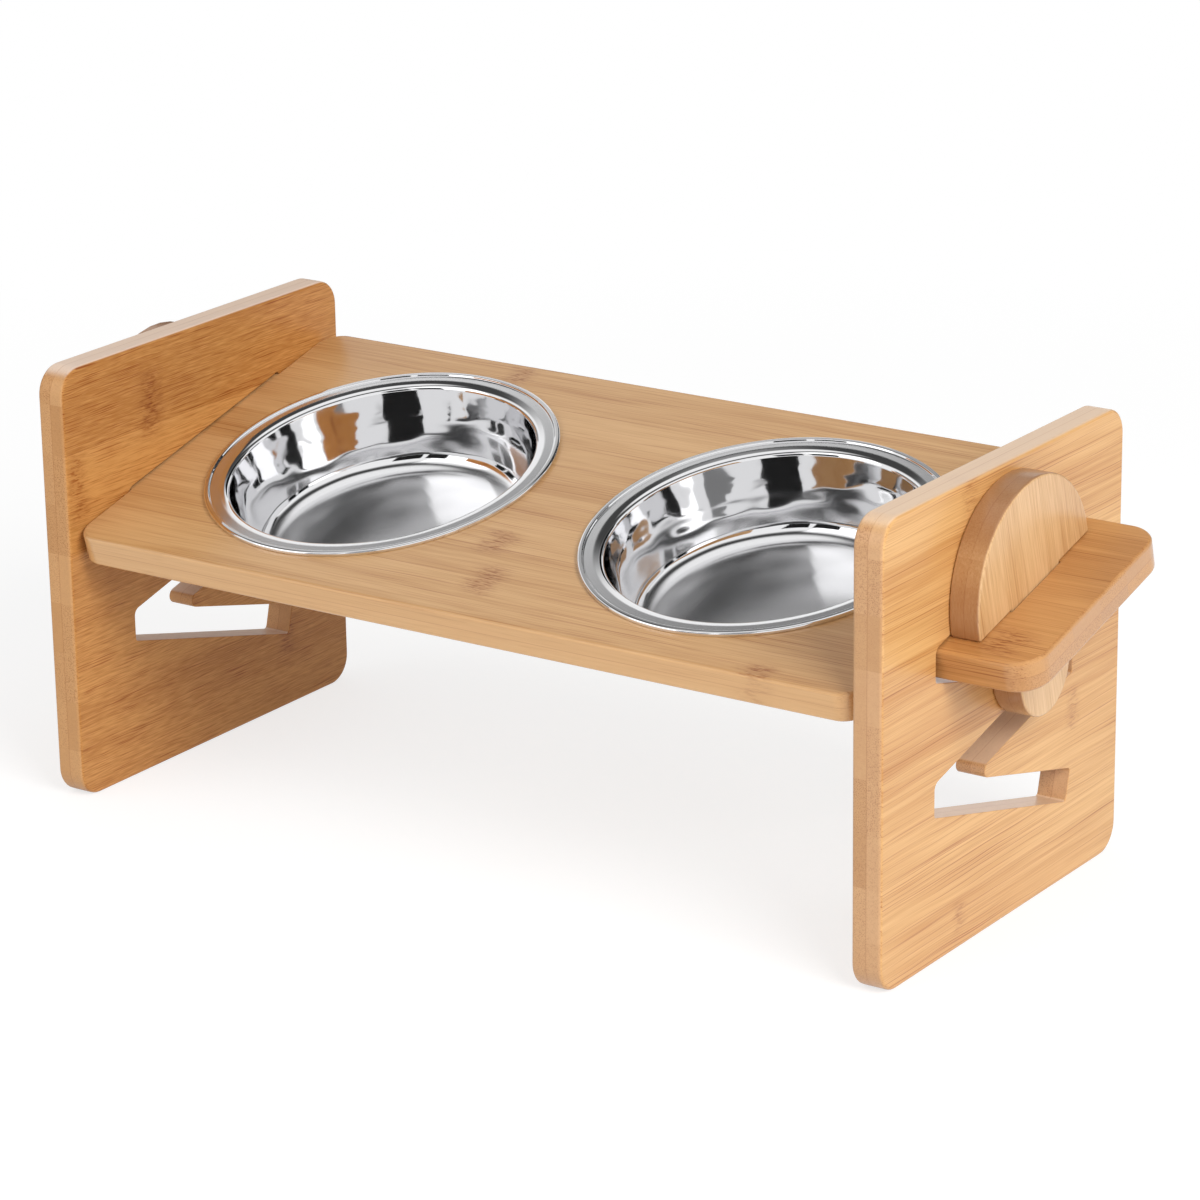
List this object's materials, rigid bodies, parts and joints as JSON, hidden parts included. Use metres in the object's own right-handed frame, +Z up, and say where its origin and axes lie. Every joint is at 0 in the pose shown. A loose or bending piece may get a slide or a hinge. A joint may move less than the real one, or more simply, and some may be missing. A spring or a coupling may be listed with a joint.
{
  "type": "elevated dog bowl stand",
  "caption": "Raised pet feeder: a tilted bamboo tray with drop-in steel bowls hangs by tongues in zigzag-slotted side panels and is locked by half-moon keys.",
  "frame": {"origin": "on the floor, under the middle of the stand", "axes": "+X along the tray to the right, -Y is the low front that the animal eats from, +Z up"},
  "size_m": [0.45, 0.1714, 0.1735],
  "materials": {
    "bamboo_panel": "clear-coated bamboo, satin",
    "bamboo_tray": "clear-coated bamboo, satin",
    "bamboo_key": "clear-coated bamboo, satin",
    "polished_steel": "mirror-polished stainless steel"
  },
  "bodies": {
    "stand": {"left_side_panel": "bamboo_panel", "right_side_panel": "bamboo_panel", "bowl_tray": "bamboo_tray"},
    "left_key": {"left_locking_key": "bamboo_key"},
    "right_key": {"right_locking_key": "bamboo_key"},
    "left_dish": {"left_bowl": "polished_steel"},
    "right_dish": {"right_bowl": "polished_steel"}
  },
  "joints": [
    {"name": "left_key_pull", "type": "slide", "parent": "stand", "child": "left_key", "axis": [0, -0.2504, 0.9681], "range_m": [0, 0.06]},
    {"name": "right_key_pull", "type": "slide", "parent": "stand", "child": "right_key", "axis": [0, -0.2504, 0.9681], "range_m": [0, 0.06]},
    {"name": "left_bowl_lift", "type": "slide", "parent": "stand", "child": "left_dish", "axis": [0, -0.2504, 0.9681], "range_m": [0, 0.06]},
    {"name": "right_bowl_lift", "type": "slide", "parent": "stand", "child": "right_dish", "axis": [0, -0.2504, 0.9681], "range_m": [0, 0.06]}
  ]
}
